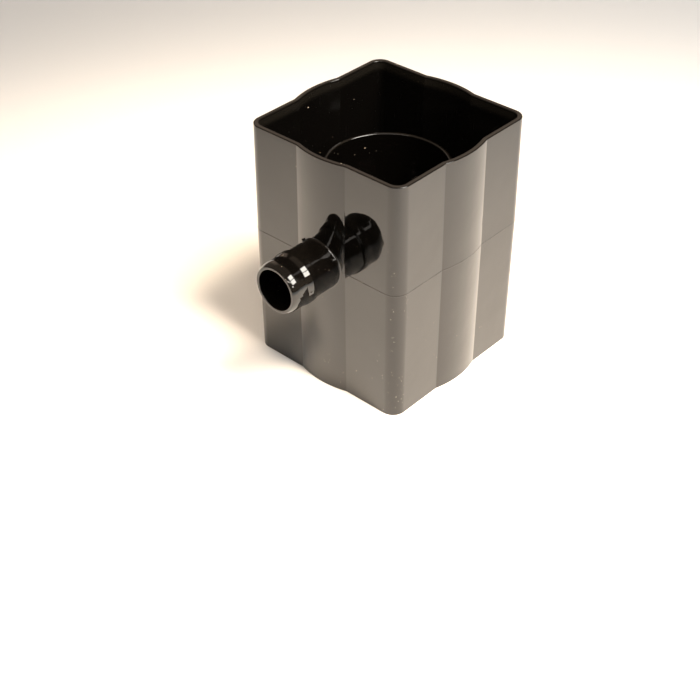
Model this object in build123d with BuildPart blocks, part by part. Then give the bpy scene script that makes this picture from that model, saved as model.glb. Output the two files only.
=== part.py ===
from build123d import *
from math import atan, degrees, radians, tan
import os

os.makedirs("parts", exist_ok=True)

# Rainwater diverter body for a square or a round downpipe, injection moulded in one piece.
# Millimetres, +Z up, origin at the centre of the bottom rim, hose spout along -Y.
# Every outline is a rounded square joined with a circle, so that both pipes fit.
# The upper and lower halves of the mould meet at parting_height, on the axis of the spout.

# Downpipes, and the room round each one inside the sockets
square_pipe = 65.0
round_pipe = 68.0
square_clearance = 0.5
round_clearance = 0.75

# Heights above the bottom rim
body_height = 97.25
parting_height = 54.1

# Walls of the box
socket_wall = 2.25
rim_wall = 1.7
floor_thickness = 2.2
rim_chamfer = 0.4
floor_chamfer = 1.0

# Sockets: a straight land for the pipe, then drafted walls down to the floor
lead_in_height = 4.0
upper_land = 14.0
lower_land = 22.0

# Draft angles in degrees
upper_draft = 0.55
lower_draft = 0.38
core_draft = 0.35

# Rounding of the outlines and of the inside corners
outer_corner = 5.6
inner_corner = 3.2
bulge_blend = 1.0

# Overflow upstand round the middle of the floor, its brim this far below the upper rim
brim_depth = 18.25
upstand_bore = 44.8
upstand_wall = 1.4
brim_chamfer = 0.4
upstand_foot = 1.2
bore_edge = 0.8

# Hose spout: bull nose, flat front barb, ramped rear barb and plain barrel
spout_length = 22.0
spout_bore = 15.6
spout_sill = 0.4
spout_root_fillet = 0.7
mouth_wall = 1.05
mouth_chamfer = 0.3
nose_length = 3.6
barrel_wall = 1.85
front_barb_height = 0.15
front_barb_length = 3.4
rear_barb_height = 0.55
rear_barb_ramp = 2.3
rear_barb_land = 2.4
barb_heel = 0.5

# Flash line left round the box where the two halves of the mould meet
flash_height = 0.1
flash_width = 0.3


def drift(angle, height):
    """How far a wall drafted by this angle moves over this height."""
    return height * tan(radians(angle))


def outline(half_side, corner, radius):
    """A square with rounded corners joined with a circle, the eight notches between them blended."""
    with BuildSketch() as profile:
        RectangleRounded(2 * half_side, 2 * half_side, corner)
        Circle(radius)
        straight_end = half_side - corner - bulge_blend
        notches = profile.vertices().filter_by(lambda v: min(abs(v.X), abs(v.Y)) < straight_end)
        if notches:
            fillet(notches, bulge_blend)
    return profile.sketch


# Inside sizes of the sockets, which follow from the pipes
socket_half = square_pipe / 2 + square_clearance
socket_radius = round_pipe / 2 + round_clearance
flare = degrees(atan((socket_wall - rim_wall) / lead_in_height))

# Outside sizes where the halves of the mould meet, which follow from the wall of the upper socket
upper_rise = body_height - parting_height
wall_at_parting = socket_wall + drift(upper_draft, upper_rise)
parting_half = socket_half + wall_at_parting
parting_radius = socket_radius + wall_at_parting

# Heights inside: the trough floor lies just below the lowest line of the spout bore
floor_top = parting_height - spout_bore / 2 - spout_sill
floor_underside = floor_top - floor_thickness
land_top = body_height - lead_in_height
land_end = land_top - upper_land
upstand_top = body_height - brim_depth

# Radii of the upstand, whose bore opens downwards and whose outside opens upwards
bore_top = upstand_bore / 2
bore_bottom = bore_top + drift(core_draft, upstand_top - floor_underside)
brim_outer = bore_top + upstand_wall
stem_outer = brim_outer + drift(core_draft, upstand_top - floor_top)
flange_outer = stem_outer + 2 * upstand_foot

# Radii of the spout
bore_radius = spout_bore / 2
mouth_radius = bore_radius + mouth_wall
barrel_radius = bore_radius + barrel_wall
front_barb_radius = barrel_radius + front_barb_height
rear_barb_radius = barrel_radius + rear_barb_height

# Stations along the spout, counted outwards from the axis of the box
spout_reach = parting_radius + spout_length
nose_end = spout_reach - nose_length
ramp_start = nose_end - front_barb_length
crest_start = ramp_start - rear_barb_ramp
crest_end = crest_start - rear_barb_land
barrel_end = crest_end - barb_heel
spout_origin = (0, 0, parting_height)
spout_plane = Plane(origin=spout_origin, x_dir=(0, -1, 0), z_dir=(-1, 0, 0))
spout_axis = Axis(spout_origin, (0, -1, 0))
bore_start = (stem_outer + upstand_foot + socket_half) / 2

# The spout, turned from its half section
with BuildPart() as spout:
    with BuildSketch(spout_plane):
        with BuildLine():
            TangentArc((nose_end, front_barb_radius), (spout_reach, mouth_radius), tangent=(1, 0))
            Polyline(
                (nose_end, front_barb_radius),
                (ramp_start, front_barb_radius),
                (crest_start, rear_barb_radius),
                (crest_end, rear_barb_radius),
                (barrel_end, barrel_radius),
                (0, barrel_radius),
                (0, 0),
                (spout_reach, 0),
                (spout_reach, mouth_radius),
            )
        make_face()
    revolve(axis=spout_axis)

# Room that the upper pipe and the water take above the floor, widest at the flared mouth
with BuildPart() as upper_core:
    with BuildSketch(Plane.XY.offset(land_end)):
        add(outline(socket_half, inner_corner, socket_radius))
    extrude(amount=land_end - floor_top, dir=(0, 0, -1), taper=core_draft)
    chamfer(upper_core.faces().sort_by(Axis.Z)[0].edges(), floor_chamfer)
    with BuildSketch(Plane.XY.offset(land_end)):
        add(outline(socket_half, inner_corner, socket_radius))
    extrude(amount=upper_land)
    with BuildSketch(Plane.XY.offset(land_top)):
        add(outline(socket_half, inner_corner, socket_radius))
    extrude(amount=lead_in_height, taper=-flare)

# Room for the lower pipe, up to the underside of the floor
with BuildPart() as lower_core:
    with BuildSketch(Plane.XY.offset(lower_land)):
        add(outline(socket_half, inner_corner, socket_radius))
    extrude(amount=floor_underside - lower_land, taper=core_draft)
    chamfer(lower_core.faces().sort_by(Axis.Z)[-1].edges(), floor_chamfer)
    with BuildSketch():
        add(outline(socket_half, inner_corner, socket_radius))
    extrude(amount=lower_land)

# Upstand with its foot and the ring of floor round it, turned from its section
with BuildPart() as upstand:
    with BuildSketch(Plane.XZ):
        with BuildLine():
            Polyline(
                (flange_outer, floor_underside),
                (bore_bottom + bore_edge, floor_underside),
                (bore_bottom, floor_underside + bore_edge),
                (bore_top, upstand_top - brim_chamfer),
                (bore_top + brim_chamfer, upstand_top),
                (brim_outer - brim_chamfer, upstand_top),
                (brim_outer, upstand_top - brim_chamfer),
                (stem_outer, floor_top + upstand_foot),
                (stem_outer + upstand_foot, floor_top),
                (flange_outer, floor_top),
                close=True,
            )
        make_face()
    revolve(axis=Axis.Z)

# Room for the water in the spout, from the trough out through the mouth
with BuildPart() as spout_core:
    with BuildSketch(spout_plane):
        with BuildLine():
            Polyline(
                (bore_start, 0),
                (spout_reach, 0),
                (spout_reach, bore_radius),
                (bore_start, bore_radius - drift(core_draft, spout_reach - bore_start)),
                close=True,
            )
        make_face()
    revolve(axis=spout_axis)

# The whole moulding: box and spout, hollowed by the cores, with the upstand set in its floor
with BuildPart() as diverter_body:
    with BuildSketch(Plane.XY.offset(parting_height)):
        add(outline(parting_half, outer_corner, parting_radius))
    extrude(amount=upper_rise, taper=upper_draft)
    with BuildSketch(Plane.XY.offset(parting_height)):
        add(outline(parting_half, outer_corner, parting_radius))
    extrude(amount=parting_height, dir=(0, 0, -1), taper=lower_draft)
    add(spout.part)
    fillet(diverter_body.edges(Select.NEW), spout_root_fillet)
    with BuildSketch(Plane.XY.offset(parting_height - flash_width / 2)):
        add(outline(parting_half + flash_height, outer_corner, parting_radius + flash_height))
    extrude(amount=flash_width)
    add(upper_core.part, mode=Mode.SUBTRACT)
    add(lower_core.part, mode=Mode.SUBTRACT)
    with BuildSketch(Plane.XY.offset(floor_underside)):
        Circle(stem_outer)
    extrude(amount=floor_thickness, mode=Mode.SUBTRACT)
    add(upstand.part)
    add(spout_core.part, mode=Mode.SUBTRACT)
    chamfer(diverter_body.faces().sort_by(Axis.Y)[0].edges(), mouth_chamfer)
    rims = diverter_body.faces().filter_by(GeomType.PLANE).sort_by(Axis.Z)
    chamfer(rims[0].edges() + rims[-1].edges(), rim_chamfer)

diverter_body.part.label = "diverter_body"
export_step(diverter_body.part, "parts/diverter_body.step")
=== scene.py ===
"""Looks for the rainwater diverter: one glossy black moulding on a pale floor in soft studio light.

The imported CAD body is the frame. A smooth shell with true roundings stands for it, worked out with numpy
from the same driving sizes, and dust and a crumb of plastic are laid on top of it.
Everything is in metres, +Z up, with the origin at the centre of the bottom rim and the hose spout along -Y.
"""

import logging
import math
from dataclasses import dataclass, replace
from enum import Enum
from itertools import combinations
from typing import Any, Optional, Sequence, Union

import bpy
import numpy as np
from mathutils import Matrix, Vector

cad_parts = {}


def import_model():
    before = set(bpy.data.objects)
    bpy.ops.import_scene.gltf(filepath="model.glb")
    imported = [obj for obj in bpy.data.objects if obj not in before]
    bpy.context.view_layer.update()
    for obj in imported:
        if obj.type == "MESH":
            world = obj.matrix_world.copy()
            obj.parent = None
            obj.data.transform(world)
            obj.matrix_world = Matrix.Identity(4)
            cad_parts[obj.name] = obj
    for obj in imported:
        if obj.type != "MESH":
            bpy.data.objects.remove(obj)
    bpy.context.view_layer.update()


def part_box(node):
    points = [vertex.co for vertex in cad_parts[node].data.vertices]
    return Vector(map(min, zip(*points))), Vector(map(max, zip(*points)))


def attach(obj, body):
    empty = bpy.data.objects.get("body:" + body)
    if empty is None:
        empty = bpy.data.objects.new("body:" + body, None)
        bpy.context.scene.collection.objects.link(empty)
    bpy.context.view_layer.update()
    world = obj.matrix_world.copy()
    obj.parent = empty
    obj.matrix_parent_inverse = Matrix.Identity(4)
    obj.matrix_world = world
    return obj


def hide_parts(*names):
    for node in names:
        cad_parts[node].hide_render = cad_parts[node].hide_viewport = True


LOG = logging.getLogger("rainwater_diverter")

MM = 0.001
BODY = "root"
NODE = "diverter_body"

Colour = tuple[float, float, float, float]
Tint = tuple[float, float, float]

# Upwards, the part of a direction that lies flat, and a direction that no wall of the moulding faces
UP = np.array([0.0, 0.0, 1.0])
FLAT = np.array([1.0, 1.0, 0.0])
SLANT = np.array([0.31, -0.52, 0.79])

# Points that agree to this many decimals of a metre are one vertex
WELD_DECIMALS = 9

# The straight ends of a section line only give its direction, and are this long
LEAD = 5.0 * MM

# Extra rows of a section line keep this share of their straight away from its ends
ROW_MARGIN = 0.01

# A straight of a section line counts as level if it changes by less than this
LEVEL = 1e-9


class Side(Enum):
    """Which side of the travel direction of a profile the open air lies on."""

    RIGHT = 1.0
    LEFT = -1.0


class Paint(Enum):
    """Names of the vertex attributes that the finishes read."""

    SCUFF = "scuff"
    SETTLED = "settled"
    CORE = "core"


def drift(angle: float, height: float) -> float:
    """How far a wall drafted by this angle in degrees moves over this height."""
    return height * math.tan(math.radians(angle))


def unit(vectors: np.ndarray) -> np.ndarray:
    """The same vectors with a length of one."""
    return vectors / np.linalg.norm(vectors, axis=-1, keepdims=True)


def compass(angle: np.ndarray) -> np.ndarray:
    """Flat directions (cos, sin) of these angles."""
    return np.stack([np.cos(angle), np.sin(angle)], axis=-1)


def between(share: np.ndarray, first: np.ndarray, last: np.ndarray) -> np.ndarray:
    """Values on the way from first to last: (1 - share) first + share last."""
    return (1.0 - share) * first + share * last


def smooth(values: np.ndarray) -> np.ndarray:
    """Soft step: 3 t^2 - 2 t^3 of the values held between 0 and 1."""
    t = np.clip(values, 0.0, 1.0)
    return t * t * (3.0 - 2.0 * t)


def outward_from(azimuth: float, elevation: float) -> Vector:
    """Direction from the part to a place at this azimuth, counted from -Y towards +X, and elevation."""
    a, e = math.radians(azimuth), math.radians(elevation)
    return Vector((math.sin(a) * math.cos(e), -math.cos(a) * math.cos(e), math.sin(e)))


@dataclass(frozen=True)
class Ring:
    """A closed line seen from above: a point and the outward direction at every column.

    The last column repeats the first, so a surface swept from the ring closes on itself.
    """

    points: np.ndarray
    outward: np.ndarray


@dataclass(frozen=True)
class Bend:
    """One rounded corner of a section line: its sharp corner, its radius and the points on its arc."""

    out: float
    up: float
    radius: float
    steps: int = 8


@dataclass(frozen=True)
class Profile:
    """A section line: how far out and how high each row lies, and which way its surface faces."""

    out: np.ndarray
    up: np.ndarray
    face_out: np.ndarray
    face_up: np.ndarray


@dataclass(frozen=True)
class Patch:
    """A grid of points, rows x columns x 3, with the direction that the surface faces at each."""

    points: np.ndarray
    facing: np.ndarray
    kept: Optional[np.ndarray] = None


def four_sides(side: np.ndarray) -> np.ndarray:
    """Turns one side of an outline to each of the four sides by right angles, and closes the line.

    Args:
        side: Points or directions (x, y) along one side.

    Returns:
        The same along all four sides, with the first repeated at the end.
    """
    turns = np.pi / 2 * np.arange(1, 5)[:, None]
    cos, sin = np.cos(turns), np.sin(turns)
    x, y = side[None, :, 0], side[None, :, 1]
    whole = np.stack([cos * x - sin * y, sin * x + cos * y], axis=-1).reshape(-1, 2)
    return np.concatenate([whole, whole[:1]])


@dataclass(frozen=True)
class Outline:
    """A square with rounded corners joined with a circle, its eight notches blended."""

    half_side: float
    corner: float
    radius: float
    blend: float
    bulge_steps: int = 12
    blend_steps: int = 6
    straight_steps: int = 6
    corner_steps: int = 8

    @property
    def notch(self) -> float:
        """How far from the middle of a side its blend touches the straight wall."""
        return math.sqrt((self.radius + self.blend) ** 2 - (self.half_side + self.blend) ** 2)

    @property
    def bulge_angle(self) -> float:
        """Half of the angle that the circle shows on each side, in radians."""
        return math.atan2(self.notch, self.half_side + self.blend)

    def ring(self) -> Ring:
        """The outline as points and outward directions, counted from the middle of the +Y side.

        One eighth is an arc of the circle, the hollow blend arc, the straight wall and half a corner arc,
        each arc given by its centre plus radius times (cos, sin). It is mirrored in the diagonal and turned
        four times by a right angle.

        Returns:
            The closed ring, anticlockwise seen from above.
        """
        bulge = compass(np.linspace(0.0, self.bulge_angle, self.bulge_steps, endpoint=False))
        hollow = compass(np.linspace(self.bulge_angle, 0.0, self.blend_steps, endpoint=False))
        wall = np.linspace(self.notch, self.half_side - self.corner, self.straight_steps, endpoint=False)
        corner = compass(np.linspace(0.0, math.pi / 4, self.corner_steps + 1))
        hollow_centre = np.array([self.half_side + self.blend, self.notch])
        points = np.concatenate([
            self.radius * bulge,
            hollow_centre - self.blend * hollow,
            np.stack([np.full_like(wall, self.half_side), wall], axis=-1),
            self.half_side - self.corner + self.corner * corner,
        ])
        facing = np.concatenate([bulge, hollow, np.tile([1.0, 0.0], (len(wall), 1)), corner])
        points = np.concatenate([points, points[-2:0:-1, ::-1]])
        facing = np.concatenate([facing, facing[-2:0:-1, ::-1]])
        return Ring(four_sides(points), four_sides(facing))


def round_ring(ring: Ring) -> Ring:
    """A ring of radius nought whose columns face the same way from the axis as the given ring's points."""
    facing = unit(ring.points)
    return Ring(np.zeros_like(facing), facing)


def rounded_profile(
    first: tuple[float, float],
    bends: Sequence[Bend],
    last: tuple[float, float],
    side: Side,
    stops: Sequence[float] = (),
    along: int = 1,
) -> Profile:
    """A section line with rounded corners, from the start of its first arc to the end of its last.

    Each arc touches both of its lines: its tangent length is the radius times tan(half the turn), and its
    points are its centre less radius times the direction to the side, as the heading turns.

    Args:
        first: Point (out, up) that the line comes from.
        bends: The rounded corners in order.
        last: Point that the line runs on to.
        side: The side of the travel direction that the surface faces.
        stops: Values of the coordinate `along` at which the straight lines get extra rows.
        along: 0 where stops are counted in the first coordinate, 1 for the second.

    Returns:
        The profile with the direction that its surface faces in every row.
    """
    line = np.array([first, *((bend.out, bend.up) for bend in bends), last], dtype=float)
    run = unit(np.diff(line, axis=0))
    heading = np.unwrap(np.arctan2(run[:, 1], run[:, 0]))
    turn = np.diff(heading)
    radius = np.array([bend.radius for bend in bends])
    reach = radius * np.tan(np.abs(turn) / 2)
    begin = line[1:-1] - run[:-1] * reach[:, None]
    end = line[1:-1] + run[1:] * reach[:, None]
    left = np.stack([-np.sin(heading), np.cos(heading)], axis=-1)
    centre = begin + left[:-1] * (radius * np.sign(turn))[:, None]
    wanted = np.asarray(sorted(stops), dtype=float)
    rows, leftward = [], []
    for k, bend in enumerate(bends):
        if k > 0:
            span = begin[k, along] - end[k - 1, along]
            share = (wanted - end[k - 1, along]) / (span if abs(span) > LEVEL else 1.0)
            share = np.sort(share[(share > ROW_MARGIN) & (share < 1.0 - ROW_MARGIN)])
            rows.append(end[k - 1] + share[:, None] * (begin[k] - end[k - 1]))
            leftward.append(np.tile(left[k], (len(share), 1)))
        angle = heading[k] + turn[k] * np.linspace(0.0, 1.0, bend.steps)
        leftward.append(np.stack([-np.sin(angle), np.cos(angle)], axis=-1))
        rows.append(centre[k] - leftward[-1] * radius[k] * np.sign(turn[k]))
    points, facing = np.concatenate(rows), np.concatenate(leftward) * -side.value
    return Profile(points[:, 0], points[:, 1], facing[:, 0], facing[:, 1])


def sweep(ring: Ring, profile: Profile) -> Patch:
    """Carries a profile round a ring: point = ring point + outward x out, at height up.

    Args:
        ring: The closed line seen from above.
        profile: The section line.

    Returns:
        The surface, with one row for each row of the profile.
    """
    flat = ring.points[None] + ring.outward[None] * profile.out[:, None, None]
    height = np.broadcast_to(profile.up[:, None, None], flat.shape[:2] + (1,))
    facing_flat = ring.outward[None] * profile.face_out[:, None, None]
    facing_up = np.broadcast_to(profile.face_up[:, None, None], flat.shape[:2] + (1,))
    return Patch(np.concatenate([flat, height], axis=-1), np.concatenate([facing_flat, facing_up], axis=-1))


def bridge(first: np.ndarray, last: np.ndarray, facing: np.ndarray, rows: int) -> Patch:
    """Straight lines from one row of points to another.

    Args:
        first: Points of the first row, columns x 3.
        last: Points of the last row.
        facing: The direction that the surface faces, for all points or for each column.
        rows: Number of rows, both ends counted.

    Returns:
        The patch between the rows, whose end rows are exactly the given ones.
    """
    points = between(np.linspace(0.0, 1.0, rows)[:, None, None], first[None], last[None])
    points[0], points[-1] = first, last
    return Patch(points, np.broadcast_to(facing, points.shape).copy())


@dataclass(frozen=True)
class Window:
    """A rectangle of a patch that is cut out for the spout, given by its rows and columns."""

    low_row: int
    high_row: int
    first_column: int
    last_column: int

    def border(self) -> tuple[np.ndarray, np.ndarray]:
        """The rectangle's border, anticlockwise from the low left corner and closed.

        Returns:
            The row and the column of each point along the border.
        """
        climb = 1 if self.high_row > self.low_row else -1
        rows = np.arange(self.low_row, self.high_row + climb, climb)
        columns = np.arange(self.first_column, self.last_column + 1)
        around_rows = np.concatenate([
            np.full(len(columns), self.low_row), rows[1:],
            np.full(len(columns) - 1, self.high_row), rows[-2::-1],
        ])
        around_columns = np.concatenate([
            columns, np.full(len(rows) - 1, self.last_column),
            columns[-2::-1], np.full(len(rows) - 1, self.first_column),
        ])
        return around_rows, around_columns

    def cut(self, patch: Patch) -> Patch:
        """The patch without the faces inside the rectangle.

        Args:
            patch: The patch to cut.

        Returns:
            The same grid with a mask of the faces that are kept.
        """
        kept = np.ones((patch.points.shape[0] - 1, patch.points.shape[1] - 1), dtype=bool)
        low, high = sorted((self.low_row, self.high_row))
        kept[low:high, self.first_column:self.last_column] = False
        return Patch(patch.points, patch.facing, kept)


def weld(patches: Sequence[Patch]) -> tuple[np.ndarray, np.ndarray, np.ndarray]:
    """Joins patches into one closed surface.

    Points that agree to a nanometre become one vertex. Each four-sided face is turned over where its own
    direction, the cross product of its diagonals, disagrees with the direction its corners should face.

    Args:
        patches: The patches, whose shared borders hold the same points.

    Returns:
        Vertices, faces as vertex numbers, and the direction faced at each face corner.
    """
    points, facing, quads, start = [], [], [], 0
    for patch in patches:
        rows, columns = patch.points.shape[:2]
        number = start + np.arange(rows * columns).reshape(rows, columns)
        quad = np.stack([number[:-1, :-1], number[:-1, 1:], number[1:, 1:], number[1:, :-1]], axis=-1)
        quads.append(quad[patch.kept] if patch.kept is not None else quad.reshape(-1, 4))
        points.append(patch.points.reshape(-1, 3))
        facing.append(patch.facing.reshape(-1, 3))
        start += rows * columns
    all_points, faces = np.concatenate(points), np.concatenate(quads)
    all_facing = unit(np.concatenate(facing))
    corner = all_points[faces]
    own = np.cross(corner[:, 2] - corner[:, 0], corner[:, 3] - corner[:, 1])
    wanted = all_facing[faces].sum(axis=1)
    faces = np.where((np.sum(own * wanted, axis=1) < 0)[:, None], faces[:, ::-1], faces)
    corner_facing = all_facing[faces]
    vertices, merged = np.unique(np.round(all_points, WELD_DECIMALS), axis=0, return_inverse=True)
    faces = merged.reshape(-1)[faces]
    distinct = np.ones(len(faces), dtype=bool)
    for a, b in combinations(range(faces.shape[1]), 2):
        distinct &= faces[:, a] != faces[:, b]
    LOG.info("welded %d faces, %d of them without area left out", len(faces), int((~distinct).sum()))
    return vertices, faces[distinct], corner_facing[distinct]


def mesh_object(
    name: str,
    vertices: np.ndarray,
    faces: np.ndarray,
    facing: Optional[np.ndarray] = None,
) -> bpy.types.Object:
    """Puts arrays into a smooth-shaded mesh object at the origin.

    Args:
        name: Name of the piece.
        vertices: Vertex places.
        faces: Faces as vertex numbers, all with the same number of corners.
        facing: The direction faced at each face corner, where it isn't left to Blender.

    Returns:
        The new object, linked to the scene.
    """
    mesh = bpy.data.meshes.new(name)
    corners = faces.shape[1]
    mesh.vertices.add(len(vertices))
    mesh.vertices.foreach_set("co", vertices.astype(np.float32).ravel())
    mesh.loops.add(faces.size)
    mesh.loops.foreach_set("vertex_index", faces.astype(np.int32).ravel())
    mesh.polygons.add(len(faces))
    mesh.polygons.foreach_set("loop_start", np.arange(0, faces.size, corners, dtype=np.int32))
    mesh.polygons.foreach_set("use_smooth", np.ones(len(faces), dtype=bool))
    mesh.update(calc_edges=True)
    mesh.validate()
    if facing is not None:
        mesh.normals_split_custom_set(facing.reshape(-1, 3).astype(np.float32))
    piece = bpy.data.objects.new(name, mesh)
    bpy.context.scene.collection.objects.link(piece)
    return piece


def paint(piece: bpy.types.Object, name: Paint, values: np.ndarray) -> None:
    """Stores one value a vertex, for the finishes to read."""
    attribute = piece.data.attributes.new(name.value, "FLOAT", "POINT")
    attribute.data.foreach_set("value", values.astype(np.float32))


@dataclass(frozen=True)
class Pattern:
    """A noise over object coordinates, and the soft step from low to high that can be laid on it.

    The scale is in cells to the metre, detail counts octaves, and stretch scales the coordinates.
    """

    scale: float
    detail: float = 2.0
    stretch: tuple[float, float, float] = (1.0, 1.0, 1.0)
    distortion: float = 0.0
    low: float = 0.0
    high: float = 1.0


@dataclass(frozen=True)
class Mark:
    """How strongly a mark shows in the colour, the dullness and the height of the plastic."""

    colour: float = 0.0
    dull: float = 0.0
    tall: float = 0.0


class Term:
    """A value socket that takes part in arithmetic; each operation adds one Math node."""

    def __init__(self, graph: "Graph", socket: Optional[bpy.types.NodeSocket]) -> None:
        """Keeps the graph and the output socket."""
        self.graph = graph
        self.socket = socket

    def _math(self, operation: str, *values: Any) -> "Term":
        """One Math node of these values."""
        return self.graph.node("ShaderNodeMath", {"operation": operation}, dict(enumerate(values)))

    def __add__(self, other: Any) -> "Term":
        """self + other."""
        return self._math("ADD", self, other)

    def __radd__(self, other: Any) -> "Term":
        """other + self."""
        return self._math("ADD", other, self)

    def __sub__(self, other: Any) -> "Term":
        """self - other."""
        return self._math("SUBTRACT", self, other)

    def __rsub__(self, other: Any) -> "Term":
        """other - self."""
        return self._math("SUBTRACT", other, self)

    def __mul__(self, other: Any) -> "Term":
        """self x other."""
        return self._math("MULTIPLY", self, other)

    def __rmul__(self, other: Any) -> "Term":
        """other x self."""
        return self._math("MULTIPLY", other, self)

    def step(self, low: float, high: float) -> "Term":
        """Soft step from 0 at low to 1 at high."""
        ends = {"Value": self, "From Min": low, "From Max": high}
        return self.graph.node("ShaderNodeMapRange", {"interpolation_type": "SMOOTHSTEP"}, ends)


class Graph:
    """The node tree of one material, filled through a single method."""

    def __init__(self, name: str) -> None:
        """Starts an empty material.

        Args:
            name: Name of the material.
        """
        self.material = bpy.data.materials.new(name)
        self.material.use_nodes = True
        self.tree = self.material.node_tree
        self.tree.nodes.clear()

    def node(
        self,
        kind: str,
        settings: Optional[dict[str, Any]] = None,
        inputs: Optional[dict[Union[str, int], Any]] = None,
        output: Union[str, int] = 0,
    ) -> Term:
        """Adds a node.

        Args:
            kind: Blender's name of the node type.
            settings: Properties of the node, set before its inputs.
            inputs: Values, or terms to link, by socket name or number.
            output: The output socket that is returned.

        Returns:
            The chosen output as a term, without a socket on a node that has no outputs.
        """
        made = self.tree.nodes.new(kind)
        for key, value in (settings or {}).items():
            setattr(made, key, value)
        for key, value in (inputs or {}).items():
            if isinstance(value, Term):
                self.tree.links.new(value.socket, made.inputs[key])
            else:
                made.inputs[key].default_value = value
        return Term(self, made.outputs[output] if made.outputs else None)

    def noise(self, pattern: Pattern) -> Term:
        """The bare noise of a pattern.

        Args:
            pattern: Scale, detail, stretch and distortion of the noise.

        Returns:
            A value between 0 and 1.
        """
        place = self.node("ShaderNodeTexCoord", output="Object")
        placed = self.node("ShaderNodeMapping", None, {"Vector": place, "Scale": pattern.stretch})
        return self.node("ShaderNodeTexNoise", None, {
            "Vector": placed,
            "Scale": pattern.scale,
            "Detail": pattern.detail,
            "Distortion": pattern.distortion,
        })

    def mask(self, pattern: Pattern) -> Term:
        """The noise of a pattern after its soft step."""
        return self.noise(pattern).step(pattern.low, pattern.high)

    def attribute(self, name: Paint) -> Term:
        """A value painted on the piece's vertices."""
        return self.node("ShaderNodeAttribute", {"attribute_name": name.value}, None, "Fac")

    def mix(self, share: Term, first: Any, second: Any) -> Term:
        """Colour between first and second by share."""
        return self.node("ShaderNodeMix", {"data_type": "RGBA"}, {0: share, 6: first, 7: second}, 2)

    def bump(self, height: Term, distance: float, normal: Optional[Term] = None) -> Term:
        """Normal of a surface raised by height times distance, laid over another normal if one is given."""
        under = {} if normal is None else {"Normal": normal}
        return self.node("ShaderNodeBump", None, {"Height": height, "Distance": distance, **under})

    def surface(self, **inputs: Any) -> bpy.types.Material:
        """Ends the tree in one Principled shader.

        Args:
            **inputs: Values or terms by socket name, with underscores for spaces.

        Returns:
            The finished material.
        """
        named = {key.replace("_", " "): value for key, value in inputs.items()}
        shader = self.node("ShaderNodeBsdfPrincipled", None, named, "BSDF")
        self.node("ShaderNodeOutputMaterial", None, {"Surface": shader})
        return self.material


@dataclass(frozen=True)
class GlossBlack:
    """Polished black plastic: mirror-smooth, with moulding ripple, hair scratches, haze and dust.

    Haze lies where the surface faces up. Dust does too, and wall_dust is the share of it on upright walls.
    """

    tint: Colour = (0.0010, 0.0009, 0.0008, 1.0)
    haze_tint: Colour = (0.0075, 0.0070, 0.0058, 1.0)
    dust_tint: Colour = (0.30, 0.26, 0.21, 1.0)
    index: float = 1.6
    polish: float = 0.035
    wall_dust: float = 0.25
    ripple_height: float = 0.35 * MM
    short_ripple_share: float = 0.12
    mark_height: float = 0.02 * MM
    long_ripple: Pattern = Pattern(38.0, 1.0)
    short_ripple: Pattern = Pattern(160.0, 1.0)
    streaks: Pattern = Pattern(900.0, 2.0, (1.0, 1.0, 0.06), low=0.66, high=0.72)
    hairs: Pattern = Pattern(700.0, 3.0, (0.05, 1.0, 1.0), distortion=0.6, low=0.70, high=0.73)
    clouds: Pattern = Pattern(55.0, 4.0, low=0.45, high=0.75)
    rubbing: Pattern = Pattern(2600.0, 2.0)
    specks: Pattern = Pattern(2300.0, 1.0, low=0.80, high=0.84)
    clusters: Pattern = Pattern(210.0, 2.0, low=0.50, high=0.66)
    film_mark: Mark = Mark(colour=0.35, dull=0.06)
    scuff_mark: Mark = Mark(colour=0.45, dull=0.20)
    core_mark: Mark = Mark(dull=0.2)
    hair_mark: Mark = Mark(dull=0.05, tall=0.15)
    streak_mark: Mark = Mark(dull=0.04, tall=0.1)
    dust_mark: Mark = Mark(colour=0.8, dull=0.4, tall=1.5)

    def material(self) -> bpy.types.Material:
        """Builds the finish.

        Returns:
            The material for the moulding.
        """
        graph = Graph("gloss_black_plastic")
        scuff, settled, core = (graph.attribute(name) for name in (Paint.SCUFF, Paint.SETTLED, Paint.CORE))
        streak, hair = graph.mask(self.streaks), graph.mask(self.hairs)
        film = graph.mask(self.clouds) * settled
        dusty = graph.mask(self.specks) * graph.mask(self.clusters)
        dusty = dusty * (self.wall_dust + (1.0 - self.wall_dust) * settled)
        hazy = film * self.film_mark.colour + scuff * self.scuff_mark.colour
        colour = graph.mix(hazy, self.tint, self.haze_tint)
        colour = graph.mix(dusty * self.dust_mark.colour, colour, self.dust_tint)
        marks = self.hair_mark.dull * hair + self.streak_mark.dull * streak + self.dust_mark.dull * dusty
        rough = self.polish + self.film_mark.dull * film + self.scuff_mark.dull * scuff
        rough = rough + self.core_mark.dull * core + marks
        ripple = graph.noise(self.long_ripple) + self.short_ripple_share * graph.noise(self.short_ripple)
        height = graph.noise(self.rubbing) * scuff + self.hair_mark.tall * hair
        height = height + self.streak_mark.tall * streak + self.dust_mark.tall * dusty
        normal = graph.bump(height, self.mark_height, graph.bump(ripple, self.ripple_height))
        return graph.surface(Base_Color=colour, Roughness=rough, IOR=self.index, Normal=normal)


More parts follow.
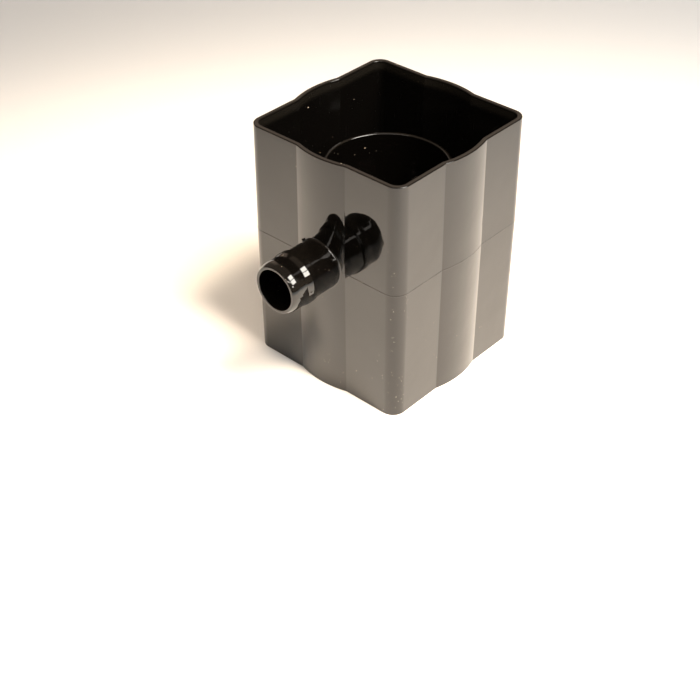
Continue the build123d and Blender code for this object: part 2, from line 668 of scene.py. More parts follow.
@dataclass(frozen=True)
class DustFleck:
    """Pale dry specks of household dust."""

    tint: Colour = (0.42, 0.38, 0.31, 1.0)
    deep: Colour = (0.20, 0.17, 0.13, 1.0)
    dull: float = 0.75
    deep_dull: float = 0.2
    lint_height: float = 0.04 * MM
    mottle: Pattern = Pattern(900.0, 3.0, low=0.35, high=0.65)
    lint: Pattern = Pattern(9000.0, 2.0)

    def material(self) -> bpy.types.Material:
        """Matt grey-brown, mottled from speck to speck; the deep tint is duller by deep_dull.

        Returns:
            The material for the dust.
        """
        graph = Graph("dust_fleck")
        share = graph.mask(self.mottle)
        normal = graph.bump(graph.noise(self.lint), self.lint_height)
        colour = graph.mix(share, self.tint, self.deep)
        return graph.surface(Base_Color=colour, Roughness=self.dull + self.deep_dull * share, Normal=normal)


@dataclass(frozen=True)
class PaleFloor:
    """Plain pale paper that the part stands on; the warm lights turn it cream."""

    tint: Colour = (0.67, 0.705, 0.75, 1.0)
    shade: Colour = (0.65, 0.68, 0.72, 1.0)
    dull: float = 0.7
    tooth_height: float = 0.03 * MM
    cloud: Pattern = Pattern(3.0, 3.0)
    tooth: Pattern = Pattern(1500.0, 3.0)

    def material(self) -> bpy.types.Material:
        """Matt paper with a faint cloudiness and tooth.

        Returns:
            The material for the floor.
        """
        graph = Graph("pale_floor")
        colour = graph.mix(graph.noise(self.cloud), self.tint, self.shade)
        normal = graph.bump(graph.noise(self.tooth), self.tooth_height)
        return graph.surface(Base_Color=colour, Roughness=self.dull, Normal=normal)


@dataclass(frozen=True)
class Pipes:
    """The two kinds of downpipe that the sockets take, and the room left round each."""

    square: float = 65.0 * MM
    round: float = 68.0 * MM
    square_clearance: float = 0.5 * MM
    round_clearance: float = 0.75 * MM

    @property
    def socket_half(self) -> float:
        """Half of the width of the square socket."""
        return self.square / 2 + self.square_clearance

    @property
    def socket_radius(self) -> float:
        """Radius of the bulges that take the round pipe."""
        return self.round / 2 + self.round_clearance


@dataclass(frozen=True)
class Flash:
    """The thin raised line that the closed mould leaves where its halves meet."""

    level: float
    height: float = 0.06 * MM
    half_width: float = 0.2 * MM

    def rise(self, height: np.ndarray) -> np.ndarray:
        """Height of the line: (1 - t^2)^2 with t the distance from its middle over its half width."""
        t = np.clip((height - self.level) / self.half_width, -1.0, 1.0)
        return self.height * (1.0 - t * t) ** 2

    def slope(self, height: np.ndarray) -> np.ndarray:
        """How fast the line rises with height: the derivative of rise."""
        t = np.clip((height - self.level) / self.half_width, -1.0, 1.0)
        return -4.0 * self.height / self.half_width * t * (1.0 - t * t)


@dataclass
class DiverterShell:
    """The whole moulding as one closed surface: box, sockets, floor, upstand and hose spout.

    The section of the box is a closed loop, travelled with the plastic on its left: up the outside, over
    the top rim, down into the upper socket, across the floor, over the upstand, back under the floor,
    down the lower socket and out along the bottom rim. The spout passes through it on the -Y side.
    """

    low: Vector
    high: Vector
    pipes: Pipes = Pipes()

    # Box, sockets, floor and upstand
    parting: float = 54.1 * MM
    socket_wall: float = 2.25 * MM
    rim_wall: float = 1.7 * MM
    floor_thickness: float = 2.2 * MM
    rim_round: float = 0.4 * MM
    foot_round: float = 0.2 * MM
    floor_round: float = 1.15 * MM
    lead_in: float = 4.0 * MM
    lead_in_blend: float = 3.0 * MM
    upper_land: float = 14.0 * MM
    lower_land: float = 22.0 * MM
    land_blend: float = 60.0 * MM
    upper_draft: float = 0.55
    lower_draft: float = 0.38
    core_draft: float = 0.35
    outer_corner: float = 5.6 * MM
    inner_corner: float = 3.2 * MM
    bulge_blend: float = 1.0 * MM
    brim_depth: float = 18.25 * MM
    upstand_bore: float = 44.8 * MM
    upstand_wall: float = 1.4 * MM
    brim_round: float = 0.58 * MM
    upstand_foot: float = 1.2 * MM
    bore_edge: float = 0.8 * MM

    # Hose spout; fullness is the share of the largest bull nose that fits
    spout_length: float = 22.0 * MM
    spout_bore: float = 15.6 * MM
    spout_sill: float = 0.4 * MM
    spout_root: float = 0.7 * MM
    mouth_wall: float = 1.05 * MM
    mouth_round: float = 0.38 * MM
    mouth_inner_round: float = 0.32 * MM
    nose_length: float = 3.6 * MM
    nose_fullness: float = 0.86
    barrel_wall: float = 1.85 * MM
    front_barb: float = 0.15 * MM
    front_barb_length: float = 3.4 * MM
    rear_barb: float = 0.55 * MM
    rear_barb_ramp: float = 2.3 * MM
    rear_barb_land: float = 2.4 * MM
    ramp_blend: float = 3.0 * MM
    crest_round: float = 0.3 * MM
    barb_heel: float = 0.5 * MM
    heel_round: float = 0.35 * MM

    # Patchy flash along the spout: its share of the box's flash, its waves to the metre and its end
    spout_flash: float = 0.8
    flash_least: float = 0.45
    flash_waves: tuple[float, float] = (1900.0, 700.0)
    flash_phase: float = 1.3
    flash_end: float = 0.6 * MM

    # Rows of the grids; those round the spout are shares, crowded where the surface turns
    row_gap: float = 2.6 * MM
    inside_gap: float = 0.85 * MM
    spout_gap: float = 0.6 * MM
    rim_clearance: float = 0.6 * MM
    floor_clearance: float = 2.0 * MM
    window_half: float = 12.6 * MM
    window_rows: tuple[float, ...] = (0.04, 0.08, 0.17, 0.3, 0.45, 0.6, 0.8, 1.0)
    root_rows: tuple[float, ...] = (0.0, 0.06, 0.16, 0.3, 0.46, 0.64, 0.82, 1.0)
    root_flash_fade: float = 3.0
    fillet_rows: int = 12
    hole_rows: int = 9
    hole_crowding: float = 1.3
    mouth_steps: int = 8
    barrel_rows: int = 6
    bore_rows: int = 14
    rim_rows: int = 3
    floor_rows: int = 9

    # Scuffed band inside the top rim: half of the wall there, and how the band begins and ends
    half_wall: float = 0.8 * MM
    scuff_start: float = 0.3 * MM
    scuff_edge: float = 0.4 * MM
    scuff_fade: float = 1.6 * MM

    def __post_init__(self) -> None:
        """Works out the sizes that follow from the driving ones."""
        self.height = self.high.z - self.low.z
        rise = self.height - self.parting
        self.wall = self.socket_wall + drift(self.upper_draft, rise)
        self.outer = Outline(
            self.pipes.socket_half + self.wall, self.outer_corner,
            self.pipes.socket_radius + self.wall, self.bulge_blend,
        )
        self.inner = Outline(
            self.pipes.socket_half, self.inner_corner, self.pipes.socket_radius, self.bulge_blend,
        )
        self.flare = self.socket_wall - self.rim_wall
        self.land_top = self.height - self.lead_in
        self.land_end = self.land_top - self.upper_land
        self.floor_top = self.parting - self.spout_bore / 2 - self.spout_sill
        self.underside = self.floor_top - self.floor_thickness
        self.brim_top = self.height - self.brim_depth
        self.flash = Flash(self.parting)
        self.bore = self.spout_bore / 2
        self.mouth = self.bore + self.mouth_wall
        self.barrel = self.bore + self.barrel_wall
        self.reach = self.outer.radius + self.spout_length

    def outside_profile(self) -> Profile:
        """Outer wall from the bottom rim to the top rim, drafted both ways from the parting line.

        The flash is laid on the plain wall: out = plain out + rise, facing up = plain facing up - slope.

        Returns:
            The profile, with close rows where the spout passes through.
        """
        top = -drift(self.upper_draft, self.height - self.parting)
        bottom = -drift(self.lower_draft, self.parting)
        turn = math.radians(self.upper_draft + self.lower_draft)
        window_low, window_high = self.parting - self.window_half, self.parting + self.window_half
        beside = self.window_half * np.array(self.window_rows)
        plain = rounded_profile(
            (bottom - LEAD, 0.0),
            [
                Bend(bottom, 0.0, self.foot_round, 7),
                Bend(0.0, self.parting, self.flash.half_width / math.tan(turn / 2), 13),
                Bend(top, self.height, self.rim_round, 7),
            ],
            (top - LEAD, self.height),
            Side.RIGHT,
            np.concatenate([
                np.arange(self.row_gap, window_low - self.row_gap / 2, self.row_gap),
                self.parting - beside,
                self.parting + beside,
                np.arange(window_high + self.row_gap, self.height - self.rim_clearance, self.row_gap),
            ]),
        )
        out = plain.out + self.flash.rise(plain.up)
        return Profile(out, plain.up, plain.face_out, plain.face_up - self.flash.slope(plain.up))

    def upper_inside_profile(self) -> Profile:
        """Upper socket from the top rim down the lead-in, the land and the drafted wall to the floor.

        Returns:
            The profile.
        """
        foot = -drift(self.core_draft, self.land_end - self.floor_top)
        return rounded_profile(
            (self.flare + LEAD, self.height),
            [
                Bend(self.flare, self.height, self.rim_round, 7),
                Bend(0.0, self.land_top, self.lead_in_blend, 5),
                Bend(0.0, self.land_end, self.land_blend, 3),
                Bend(foot, self.floor_top, self.floor_round, 9),
            ],
            (foot - LEAD, self.floor_top),
            Side.RIGHT,
            np.arange(self.floor_top + self.floor_clearance, self.height, self.inside_gap),
        )

    def upstand_profile(self) -> Profile:
        """Upstand from the floor up its stem, over its brim and down its bore to the underside.

        Returns:
            The profile, counted outwards from the axis of the box.
        """
        bore = self.upstand_bore / 2
        bore_bottom = bore + drift(self.core_draft, self.brim_top - self.underside)
        brim = bore + self.upstand_wall
        stem = brim + drift(self.core_draft, self.brim_top - self.floor_top)
        return rounded_profile(
            (stem + LEAD, self.floor_top),
            [
                Bend(stem, self.floor_top, self.upstand_foot),
                Bend(brim, self.brim_top, self.brim_round),
                Bend(bore, self.brim_top, self.brim_round),
                Bend(bore_bottom, self.underside, self.bore_edge),
            ],
            (bore_bottom + LEAD, self.underside),
            Side.RIGHT,
            np.arange(self.underside, self.brim_top, self.row_gap),
        )

    def lower_inside_profile(self) -> Profile:
        """Lower socket from the underside of the floor down to the bottom rim.

        Returns:
            The profile.
        """
        head = -drift(self.core_draft, self.underside - self.lower_land)
        return rounded_profile(
            (head - LEAD, self.underside),
            [
                Bend(head, self.underside, self.floor_round),
                Bend(0.0, self.lower_land, self.land_blend, 3),
                Bend(0.0, 0.0, self.foot_round, 7),
            ],
            (LEAD, 0.0),
            Side.RIGHT,
            np.arange(self.row_gap, self.underside, self.row_gap),
        )

    def spout_profile(self) -> Profile:
        """Spout from its barrel over the rear barb, the front barb and the bull nose into the bore.

        Returns:
            The profile: out is counted from the axis of the box, up from the axis of the spout.
        """
        nose_end = self.reach - self.nose_length
        ramp_start = nose_end - self.front_barb_length
        crest_start = ramp_start - self.rear_barb_ramp
        crest_end = crest_start - self.rear_barb_land
        fall = self.barrel + self.front_barb - self.mouth
        nose_angle = 2 * math.atan2(fall, self.nose_length)
        nose_radius = self.nose_fullness * self.nose_length / math.sin(nose_angle)
        nose_corner = self.reach - fall / math.tan(nose_angle)
        return rounded_profile(
            (crest_end - LEAD, self.barrel),
            [
                Bend(crest_end - self.barb_heel, self.barrel, self.heel_round, 6),
                Bend(crest_end, self.barrel + self.rear_barb, self.crest_round, 7),
                Bend(crest_start, self.barrel + self.rear_barb, self.ramp_blend, 6),
                Bend(ramp_start, self.barrel + self.front_barb, self.ramp_blend, 6),
                Bend(nose_corner, self.barrel + self.front_barb, nose_radius, 14),
                Bend(self.reach, self.mouth, self.mouth_round, self.mouth_steps),
                Bend(self.reach, self.bore, self.mouth_inner_round, self.mouth_steps),
            ],
            (self.reach - LEAD, self.bore - drift(self.core_draft, LEAD)),
            Side.LEFT,
            np.arange(crest_end, self.reach, self.spout_gap),
            along=0,
        )

    def wall_line(self, profile: Profile, height: np.ndarray) -> tuple[np.ndarray, ...]:
        """Reads a wall profile between its rows.

        Args:
            profile: The profile of the wall.
            height: The heights to read it at.

        Returns:
            How far out the wall lies there, and how far it faces outwards and upwards.
        """
        order = np.argsort(profile.up, kind="stable")
        rows = profile.up[order]
        columns = (profile.out, profile.face_out, profile.face_up)
        return tuple(np.interp(height, rows, column[order]) for column in columns)

    def bulge_points(self, radius: np.ndarray, x: np.ndarray, z: np.ndarray) -> np.ndarray:
        """Points of the -Y bulge: y = -sqrt(radius^2 - x^2)."""
        return np.stack([x, -np.sqrt(radius ** 2 - x ** 2), z], axis=-1)

    def bulge_patch(self, points: np.ndarray, face_out: np.ndarray, face_up: np.ndarray) -> Patch:
        """Wall of the bulge: facing = flat direction from the axis x facing out + up x facing up."""
        return Patch(points, unit(points * FLAT) * face_out[..., None] + UP * face_up[..., None])

    def root_surfaces(
        self,
        border: np.ndarray,
        profile: Profile,
    ) -> tuple[list[Patch], np.ndarray, np.ndarray]:
        """The wall round the spout and the fillet at its root.

        A ball of the fillet's radius rolls round the spout: its centre keeps barrel + fillet from the
        spout's axis and bulge + fillet from the box's axis, and the fillet is the arc between its two
        contact points. The wall runs in straight lines, seen from the front, from the ball's contact to the
        border of the window, and the flash fades in over their first part.

        Args:
            border: Points along the border of the window in the outer wall.
            profile: Profile of the outer wall.

        Returns:
            The patches, the angle of each column round the spout, and the contact row on the barrel.
        """
        x, z = border[:, 0], border[:, 2] - self.parting
        angle = np.arctan2(z, x)
        ball = self.barrel + self.spout_root
        level = self.parting + ball * np.sin(angle)
        radius = self.outer.radius + self.wall_line(profile, level)[0] - self.flash.rise(level)
        centre = self.bulge_points(radius + self.spout_root, ball * np.cos(angle), level)
        on_wall = unit(centre * FLAT)
        on_barrel = np.stack([np.cos(angle), np.zeros_like(angle), np.sin(angle)], axis=-1)
        spread = np.arccos(np.clip(np.sum(on_wall * on_barrel, axis=-1), -1.0, 1.0))[:, None]
        t = np.linspace(0.0, 1.0, self.fillet_rows)[:, None, None]
        facing = (np.sin((1.0 - t) * spread) * on_wall + np.sin(t * spread) * on_barrel) / np.sin(spread)
        fillet = Patch(centre - self.spout_root * facing, facing)
        share = np.array(self.root_rows)[:, None]
        near = fillet.points[0]
        across, height = (between(share, near[:, axis], border[:, axis]) for axis in (0, 2))
        offset, face_out, face_up = self.wall_line(profile, height)
        unfaded = 1.0 - smooth(share * self.root_flash_fade)
        bulge = self.outer.radius + offset - unfaded * self.flash.rise(height)
        points = self.bulge_points(bulge, across, height)
        points[0], points[-1] = near, border
        wall = self.bulge_patch(points, face_out, face_up + unfaded * self.flash.slope(height))
        return [wall, fillet], angle, fillet.points[-1]

    def bore_mouth(self, border: np.ndarray, profile: Profile) -> tuple[Patch, np.ndarray, np.ndarray]:
        """The inner wall round the hole where the spout's bore opens into the box.

        Both the hole and the border are given by x and by the length along the wall's profile, which also
        runs round the rounding at the floor, and are joined by straight lines in those two.

        Args:
            border: Points along the border of the window in the inner wall.
            profile: Profile of the inner wall from the rim down to the floor.

        Returns:
            The patch, the angle of each column round the bore, and the row of the hole.
        """
        angle = np.arctan2(border[:, 2] - self.parting, border[:, 0])
        bore = self.bore - drift(self.core_draft, self.reach - self.inner.radius)
        x, z = bore * np.cos(angle), self.parting + bore * np.sin(angle)
        steps = np.hypot(np.diff(profile.out), np.diff(profile.up))
        length = np.concatenate([[0.0], np.cumsum(steps)])
        at_hole = np.interp(-z, -profile.up, length)
        at_border = np.interp(-border[:, 2], -profile.up, length)
        share = np.linspace(0.0, 1.0, self.hole_rows)[:, None] ** self.hole_crowding
        across = between(share, x, border[:, 0])
        along = between(share, at_hole, at_border)
        out, up, face_out, face_up = (
            np.interp(along, length, column)
            for column in (profile.out, profile.up, profile.face_out, profile.face_up)
        )
        points = self.bulge_points(self.inner.radius + out, across, up)
        points[-1] = border
        return self.bulge_patch(points, face_out, face_up), angle, points[0]

    def spout_surfaces(
        self,
        angle: np.ndarray,
        root: np.ndarray,
        bore_angle: np.ndarray,
        hole: np.ndarray,
    ) -> list[Patch]:
        """The turned spout between the fillet at its root and the hole in the inner wall.

        Each point is (r cos a, -station, r sin a) from the spout's axis. Angles change from those of the
        root to those of the hole across the lip. Two faint flash lines run along the sides, as strong as
        least + (1 - least) times the product of two sine waves of the station.

        Args:
            angle: Angle of each column at the root.
            root: Points where the fillet meets the barrel.
            bore_angle: Angle of each column in the bore.
            hole: Points where the bore meets the inner wall.

        Returns:
            The barrel, the turned part and the bore.
        """
        profile = self.spout_profile()
        past_nose = np.arange(len(profile.up)) > np.argmax(profile.out) - self.mouth_steps
        inward = np.clip((self.mouth - profile.up) / self.mouth_wall, 0.0, 1.0) * past_nose
        gap = np.arctan2(np.sin(bore_angle - angle), np.cos(bore_angle - angle))
        turned = angle[None] + inward[:, None] * gap[None]
        cos, sin = np.cos(turned), np.sin(turned)
        station = profile.out[:, None]
        side_height = profile.up[:, None] * sin
        fine, coarse = (station * wave for wave in self.flash_waves)
        waves = (1.0 - self.flash_least) * np.sin(fine + self.flash_phase) * np.sin(coarse)
        before_mouth = smooth((self.reach - self.flash_end - station) / MM)
        strength = self.spout_flash * (self.flash_least + waves) * (1.0 - inward[:, None]) * before_mouth
        line = replace(self.flash, level=0.0)
        radius = profile.up[:, None] + strength * line.rise(side_height)
        tilt = -strength * line.slope(side_height)
        reach = np.broadcast_to(-station, cos.shape)
        points = np.stack([radius * cos, reach, self.parting + radius * sin], axis=-1)
        face = profile.face_up[:, None]
        forward = np.broadcast_to(-profile.face_out[:, None], cos.shape)
        facing = np.stack([face * cos - tilt * sin, forward, face * sin + tilt * cos], axis=-1)
        return [
            bridge(root, points[0], facing[0], self.barrel_rows),
            Patch(points, facing),
            bridge(points[-1], hole, facing[-1], self.bore_rows),
        ]

    def build(self) -> bpy.types.Object:
        """Makes all surfaces and joins them.

        Returns:
            The finished shell.
        """
        outline, inline = self.outer.ring(), self.inner.ring()
        outside_line, inside_line = self.outside_profile(), self.upper_inside_profile()
        outside = sweep(outline, outside_line)
        inside = sweep(inline, inside_line)
        upstand = sweep(round_ring(inline), self.upstand_profile())
        below = sweep(inline, self.lower_inside_profile())
        middle = (len(outline.points) - 1) // 2
        first, last = middle - self.outer.bulge_steps, middle + self.outer.bulge_steps
        low = int(np.argmin(np.abs(outside_line.up - (self.parting - self.window_half))))
        high = int(np.argmin(np.abs(outside_line.up - (self.parting + self.window_half))))
        outer_window = Window(low, high, first, last)
        bottom = len(inside_line.up) - 1
        inner_window = Window(bottom, bottom - (high - low), first, last)
        outer_border = outside.points[outer_window.border()]
        inner_border = inside.points[inner_window.border()]
        root_patches, angle, root = self.root_surfaces(outer_border, outside_line)
        mouth_patch, bore_angle, hole = self.bore_mouth(inner_border, inside_line)
        vertices, faces, facing = weld([
            outer_window.cut(outside),
            inner_window.cut(inside),
            upstand,
            below,
            bridge(outside.points[-1], inside.points[0], UP, self.rim_rows),
            bridge(inside.points[-1], upstand.points[0], UP, self.floor_rows),
            bridge(upstand.points[-1], below.points[0], -UP, self.floor_rows),
            bridge(below.points[-1], outside.points[0], -UP, self.rim_rows),
            *root_patches,
            mouth_patch,
            *self.spout_surfaces(angle, root, bore_angle, hole),
        ])
        shell = mesh_object("diverter_shell", vertices, faces, facing)
        self.dress(shell, vertices)
        return shell

    def dress(self, shell: bpy.types.Object, vertices: np.ndarray) -> None:
        """Paints where the plastic is scuffed, dull or open to dust, and gives the finish.

        The scuff lies on the flared lead-in inside the top rim, and the duller core on the inner walls
        and the floor below it, up to the upstand. Dust settles where the surface faces up.

        Args:
            shell: The welded shell.
            vertices: Its vertex places.
        """
        x, y, z = vertices.T
        middle = self.flare + self.half_wall
        inside_square = np.maximum(np.abs(x), np.abs(y)) < self.pipes.socket_half + middle
        inside = inside_square | (np.hypot(x, y) < self.pipes.socket_radius + middle)
        below_rim = smooth((self.height - self.scuff_start - z) / self.scuff_edge)
        paint(shell, Paint.SCUFF, smooth((z - self.land_top) / self.scuff_fade) * below_rim * inside)
        stem = self.upstand_bore / 2 + self.upstand_wall + self.upstand_foot
        beside_stem = smooth((np.hypot(x, y) - stem) / MM)
        paint(shell, Paint.CORE, inside * beside_stem * smooth((self.land_top + MM - z) / MM))
        normals = np.zeros(len(vertices) * 3, dtype=np.float32)
        shell.data.vertex_normals.foreach_get("vector", normals)
        paint(shell, Paint.SETTLED, smooth(normals.reshape(-1, 3)[:, 2]))
        shell.data.materials.append(GlossBlack().material())
        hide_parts(NODE)
        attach(shell, BODY)


@dataclass(frozen=True)
class PhotoCamera:
    """The photograph's view: where the camera stands and where in the picture the part lies."""

    azimuth: float = 42.336
    elevation: float = 37.81
    roll: float = -0.292
    image_px: float = 700.0
    focal_px: float = 1344.3
    px_per_metre: float = 2684.1
    target: tuple[float, float, float] = (0.0, 0.0, 0.055)
    target_px: tuple[float, float] = (386.78, 219.83)
    sensor: float = 36.0
    nearest: float = 0.01
    farthest: float = 20.0

    def axes(self) -> tuple[Vector, Vector, Vector]:
        """The picture's own directions: a level pair turned by the roll about the view direction.

        Returns:
            Right, up and back.
        """
        back = outward_from(self.azimuth, self.elevation)
        level = (-back).cross(Vector(UP)).normalized()
        upright = level.cross(-back)
        roll = math.radians(self.roll)
        right = level * math.cos(roll) + upright * math.sin(roll)
        return right, upright * math.cos(roll) - level * math.sin(roll), back

    def stand(self) -> Vector:
        """Finds the place from which the target lies at its pixel at the wanted scale.

        Returns:
            The camera's place.
        """
        right, up, back = self.axes()
        aside, below = ((px - self.image_px / 2) / self.px_per_metre for px in self.target_px)
        return Vector(self.target) + back * (self.focal_px / self.px_per_metre) - right * aside + up * below

    def ray(self, column: float, row: float) -> tuple[Vector, Vector]:
        """The camera's line of sight through a pixel.

        Args:
            column: Pixels from the left of the picture.
            row: Pixels from its top.

        Returns:
            Starting point and unit direction.
        """
        right, up, back = self.axes()
        sight = right * (column - self.image_px / 2) - up * (row - self.image_px / 2) - back * self.focal_px
        return self.stand(), sight.normalized()

    def build(self) -> bpy.types.Object:
        """Makes the camera and makes it the scene's.

        Returns:
            The camera object.
        """
        data = bpy.data.cameras.new("photo_camera")
        data.lens = self.focal_px / self.image_px * self.sensor
        data.sensor_width = self.sensor
        data.clip_start, data.clip_end = self.nearest, self.farthest
        camera = bpy.data.objects.new("photo_camera", data)
        turned = Matrix(self.axes()).transposed().to_4x4()
        camera.matrix_world = Matrix.Translation(self.stand()) @ turned
        bpy.context.scene.collection.objects.link(camera)
        bpy.context.scene.camera = camera
        return camera


@dataclass(frozen=True)
class Speck:
    """One speck that the photograph shows: the pixel it lies at and its length, width, height and turn."""

    column: float
    row: float
    length: float = 0.45 * MM
    width: float = 0.3 * MM
    tall: float = 0.16 * MM
    turn: float = 0.0


@dataclass(frozen=True)
class DustField:
    """A rectangle of the photograph in which fine dust clings to the part, and how many specks it holds."""

    left: float
    top: float
    right: float
    bottom: float
    count: int
    tall: float = 0.06 * MM


@dataclass(frozen=True)
class Lump:
    """A speck found on the moulding: its place, the direction faced there and its sizes."""

    place: Vector
    off: Vector
    length: float
    width: float
    tall: float
    turn: float


@dataclass
class Litter:
    """Small lumps that lie on the moulding: dust or a crumb of plastic, joined in one piece.

    A lump is a ball with a wavy skin, pressed flat and sunk a little into the surface that carries it.
    Specks and fields lie where the photograph shows them, and the scattered ones have fallen from above.
    """

    name: str
    carrier: bpy.types.Object
    camera: PhotoCamera
    low: Vector
    high: Vector
    finish: Union[GlossBlack, DustFleck]
    specks: Sequence[Speck] = ()
    fields: Sequence[DustField] = ()
    scattered: int = 0
    seed: int = 7
    sunk: float = 0.35
    smallest: float = 0.07 * MM
    largest: float = 0.2 * MM

    # Specks of a field: length over width, and radians turned for each pixel column
    field_stretch: float = 1.3
    field_turn: float = 5.0

    # Scattered specks: most that length exceeds width, height over width, and height they fall from
    scattered_stretch: float = 1.2
    scattered_tall: float = 0.5
    drop: float = 10.0 * MM

    # Waves of the skin round x, y and z, and how high they rise
    waves: tuple[float, float, float] = (3.0, 4.0, 5.0)
    side_waves: float = 0.2
    end_waves: float = 0.1
    cube_steps: int = 4

    def ball(self) -> tuple[np.ndarray, np.ndarray]:
        """A ball made of the six sides of a cube, each point drawn to a distance of one.

        Returns:
            Unit directions and faces.
        """
        side = np.tan(np.linspace(-math.pi / 4, math.pi / 4, self.cube_steps))
        u, v = np.meshgrid(side, side)
        one = np.ones_like(u)
        sides = [
            np.stack(axes, axis=-1)
            for sign in (one, -one)
            for axes in ((sign, u, v), (u, sign, v), (u, v, sign))
        ]
        directions, faces, _ = weld([Patch(unit(points), unit(points)) for points in sides])
        return directions, faces

    def seen(self) -> list[Lump]:
        """Finds the lumps where lines of sight through the specks' pixels meet the carrier.

        Returns:
            The lumps, single specks first.
        """
        random = np.random.default_rng(self.seed + 2)
        specks = list(self.specks)
        for area in self.fields:
            column = random.uniform(area.left, area.right, area.count)
            row = random.uniform(area.top, area.bottom, area.count)
            size = random.uniform(self.smallest, self.largest, area.count)
            specks += [
                Speck(c, r, self.field_stretch * wide, wide, area.tall, self.field_turn * c)
                for c, r, wide in zip(column, row, size)
            ]
        found = []
        for speck in specks:
            hit, place, normal, _ = self.carrier.ray_cast(*self.camera.ray(speck.column, speck.row))
            if hit:
                found.append(Lump(place, normal, speck.length, speck.width, speck.tall, speck.turn))
        return found

    def fallen(self) -> list[Lump]:
        """Drops lumps on the carrier from random points over its box.

        Returns:
            The lumps that met the carrier.
        """
        random = np.random.default_rng(self.seed)
        down = Vector((0.0, 0.0, -1.0))
        found = []
        for _ in range(self.scattered):
            share = random.random(2)
            over = Vector((
                self.low.x + (self.high.x - self.low.x) * share[0],
                self.low.y + (self.high.y - self.low.y) * share[1],
                self.high.z + self.drop,
            ))
            wide = self.smallest + (self.largest - self.smallest) * random.random() ** 2
            stretch, turn = 1.0 + self.scattered_stretch * random.random(), math.pi * random.random()
            hit, place, normal, _ = self.carrier.ray_cast(over, down)
            if hit:
                found.append(Lump(place, normal, wide * stretch, wide, self.scattered_tall * wide, turn))
        return found

    def build(self) -> bpy.types.Object:
        """Makes the lumps, holds them inside the box of the moulding and gives the finish.

        Each point is place + (a x + b y) along the surface + (c - sunk) z off it, times a wavy radius:
        1 + side waves x sin(wave x + p) sin(wave y + q) + end waves x sin(wave z + p).

        Returns:
            The piece.
        """
        directions, faces = self.ball()
        lumps = self.seen() + self.fallen()
        random = np.random.default_rng(self.seed + 1)
        phase = random.uniform(0.0, 2 * math.pi, (len(lumps), 2, 1))
        x, y, z = directions.T
        wave_x, wave_y, wave_z = self.waves
        skin = 1.0 + self.side_waves * np.sin(wave_x * x + phase[:, 0]) * np.sin(wave_y * y + phase[:, 1])
        skin = skin + self.end_waves * np.sin(wave_z * z + phase[:, 0])
        place = np.array([lump.place for lump in lumps])
        off = unit(np.array([lump.off for lump in lumps]))
        sizes = np.array([(lump.length, lump.width, lump.tall, lump.turn) for lump in lumps])
        length, width, tall, turn = sizes.T[..., None]
        aside = unit(np.cross(off, SLANT))
        across = np.cross(off, aside)
        along = aside * np.cos(turn) + across * np.sin(turn)
        beside = np.cross(off, along)
        first = (length / 2) * x * skin
        second = (width / 2) * y * skin
        third = tall * (0.5 * z * skin + 0.5 - self.sunk)
        points = place[:, None] + (
            first[..., None] * along[:, None]
            + second[..., None] * beside[:, None]
            + third[..., None] * off[:, None]
        )
        points = np.clip(points, np.array(self.low), np.array(self.high))
        start = np.arange(len(lumps))[:, None, None] * len(directions)
        piece = mesh_object(self.name, points.reshape(-1, 3), (faces[None] + start).reshape(-1, 4))
        piece.data.materials.append(self.finish.material())
        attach(piece, BODY)
        return piece


@dataclass(frozen=True)
class StudioLight:
    """A light that hangs at an azimuth and elevation and looks at a point of the part or the floor."""

    name: str
    azimuth: float
    elevation: float
    power: float

    def hang(self, kind: str, aim: Sequence[float], distance: float, **settings: Any) -> bpy.types.Object:
        """Makes the lamp and hangs it.

        Args:
            kind: Blender's name of the kind of light.
            aim: The point that the light looks at.
            distance: How far from that point it hangs.
            **settings: Properties of the light besides its power.

        Returns:
            The light object.
        """
        away = outward_from(self.azimuth, self.elevation)
        data = bpy.data.lights.new(self.name, kind)
        data.energy = self.power
        for key, value in settings.items():
            setattr(data, key, value)
        light = bpy.data.objects.new(self.name, data)
        light.location = Vector(aim) + away * distance
        light.rotation_euler = away.to_track_quat("Z", "Y").to_euler()
        bpy.context.scene.collection.objects.link(light)
        return light


@dataclass(frozen=True)
class SoftLight(StudioLight):
    """A rectangular soft light, whose mirror image the gloss shows."""

    distance: float
    width: float
    tall: float
    tint: Tint = (1.0, 0.95, 0.87)
    aim: tuple[float, float, float] = (0.0, 0.0, 0.05)

    def build(self) -> bpy.types.Object:
        """Hangs the light."""
        sizes = {"shape": "RECTANGLE", "size": self.width, "size_y": self.tall}
        return self.hang("AREA", self.aim, self.distance, color=self.tint, **sizes)


@dataclass(frozen=True)
class PoolLight(StudioLight):
    """A soft spotlight that leaves a pool of light on the floor; the plastic doesn't mirror its bulb."""

    aim: tuple[float, float, float]
    bulb: float
    cone: float = 18.0
    softness: float = 1.0
    tint: Tint = (1.0, 0.76, 0.53)
    distance: float = 1.0

    def build(self) -> bpy.types.Object:
        """Hangs the light and hides its bulb from the gloss.

        Returns:
            The light object.
        """
        light = self.hang(
            "SPOT", self.aim, self.distance, color=self.tint,
            spot_size=math.radians(self.cone), spot_blend=self.softness, shadow_soft_size=self.bulb,
        )
        light.visible_glossy = False
        return light


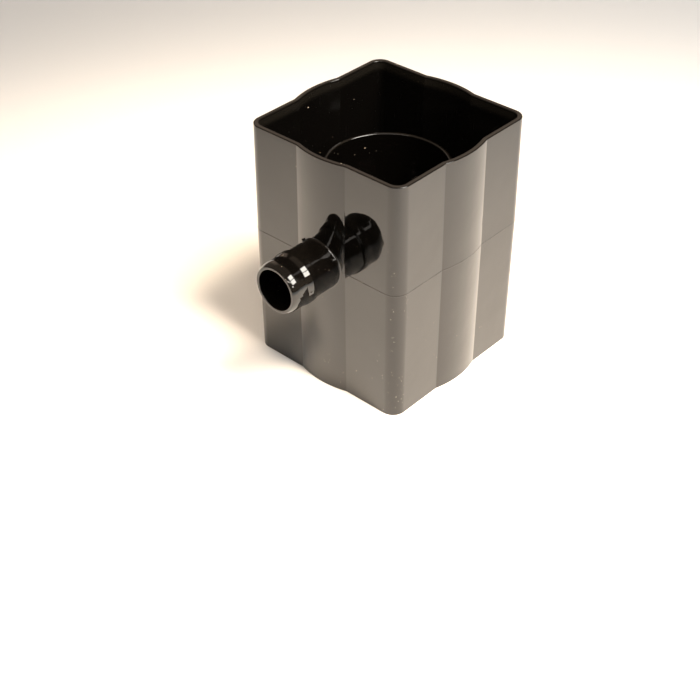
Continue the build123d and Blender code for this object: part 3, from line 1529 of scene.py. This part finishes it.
# A window of two panes and a fanlight, a tube on the ceiling, a warm wall behind, and pools of light
LIGHTS = (
    SoftLight("upper_pane", azimuth=97.0, elevation=55.0, power=4.7, distance=0.75, width=0.40, tall=0.215),
    SoftLight("lower_pane", azimuth=97.0, elevation=36.0, power=4.7, distance=0.75, width=0.40, tall=0.215),
    SoftLight("fanlight", azimuth=78.0, elevation=20.0, power=0.3, distance=0.75, width=0.08, tall=0.05),
    SoftLight(
        "ceiling_tube", azimuth=37.0, elevation=44.0, power=3.2, distance=1.1, width=1.2, tall=0.10,
        tint=(1.0, 0.93, 0.85),
    ),
    SoftLight(
        "backdrop", azimuth=222.0, elevation=26.0, power=2.1, distance=1.6, width=1.6, tall=1.3,
        tint=(1.0, 0.77, 0.61),
    ),
    PoolLight("window_pool", azimuth=93.0, elevation=64.0, power=102.0, aim=(0.05, -0.04, 0.0), bulb=0.22),
    PoolLight(
        "window_pool_front", azimuth=91.0, elevation=64.0, power=196.0, aim=(0.0, -0.1, 0.0), bulb=0.22,
    ),
    PoolLight("window_pool_back", azimuth=97.0, elevation=53.0, power=222.0, aim=(0.1, 0.07, 0.0), bulb=0.2),
    PoolLight("front_pool", azimuth=38.0, elevation=62.0, power=155.0, aim=(0.0, -0.03, 0.0), bulb=0.3),
)


@dataclass(frozen=True)
class Studio:
    """Floor, lights, the room's own glow and the way that the picture is developed."""

    floor_half: float = 3.0
    room: Colour = (0.28, 0.22, 0.165, 1.0)
    lights: tuple[Union[SoftLight, PoolLight], ...] = LIGHTS

    def build(self) -> None:
        """Lays the floor and hangs the lights."""
        corner = np.array([[-1.0, -1.0, 0.0], [1.0, -1.0, 0.0], [1.0, 1.0, 0.0], [-1.0, 1.0, 0.0]])
        floor = mesh_object("floor", corner * self.floor_half, np.array([[0, 1, 2, 3]]))
        floor.data.materials.append(PaleFloor().material())
        for light in self.lights:
            light.build()
        world = bpy.data.worlds.new("studio")
        world.use_nodes = True
        world.node_tree.nodes["Background"].inputs["Color"].default_value = self.room
        bpy.context.scene.world = world
        bpy.context.scene.view_settings.view_transform = "Standard"


# Single specks inside the socket, round the upstand and on the near corner
CLEAR_SPECKS = (
    Speck(column=308.0, row=107.5, length=0.5 * MM, width=0.45 * MM, tall=0.25 * MM),
    Speck(column=354.0, row=99.4, length=0.28 * MM, width=0.22 * MM),
    Speck(column=365.0, row=148.0, length=0.5 * MM, width=0.25 * MM, tall=0.15 * MM),
    Speck(column=341.0, row=163.5, length=0.5 * MM, width=0.35 * MM),
    Speck(column=344.0, row=164.5, length=0.35 * MM, width=0.3 * MM),
    Speck(column=396.0, row=397.0, length=0.35 * MM, width=0.25 * MM, tall=0.08 * MM),
)

# Fine dust on the near corner, low on both walls, on the spout and inside the socket
DUST_FIELDS = (
    DustField(left=382.0, top=370.0, right=404.0, bottom=411.0, count=26),
    DustField(left=388.0, top=250.0, right=396.0, bottom=370.0, count=14),
    DustField(left=403.0, top=296.0, right=409.0, bottom=322.0, count=9),
    DustField(left=290.0, top=350.0, right=384.0, bottom=385.0, count=16),
    DustField(left=410.0, top=320.0, right=500.0, bottom=370.0, count=14),
    DustField(left=262.0, top=256.0, right=330.0, bottom=300.0, count=10),
    DustField(left=285.0, top=132.0, right=390.0, bottom=178.0, count=12),
)

# The crumb of plastic beside the spout's root
CRUMB = Speck(column=303.9, row=240.0, length=0.9 * MM, width=0.7 * MM, tall=1.1 * MM)


def main() -> None:
    """Loads the frame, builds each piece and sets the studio."""
    logging.basicConfig(level=logging.INFO, format="%(name)s: %(message)s")
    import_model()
    low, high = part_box(NODE)
    camera = PhotoCamera()
    shell = DiverterShell(low, high).build()
    dust = Litter("dust", shell, camera, low, high, DustFleck(), CLEAR_SPECKS, DUST_FIELDS, scattered=80)
    crumb = Litter("crumb", shell, camera, low, high, GlossBlack(), (CRUMB,), sunk=0.15)
    for piece in (shell, dust.build(), crumb.build()):
        LOG.info("%s: %d faces", piece.name, len(piece.data.polygons))
    Studio().build()
    camera.build()
    bpy.context.view_layer.update()


if __name__ == "__main__":
    main()
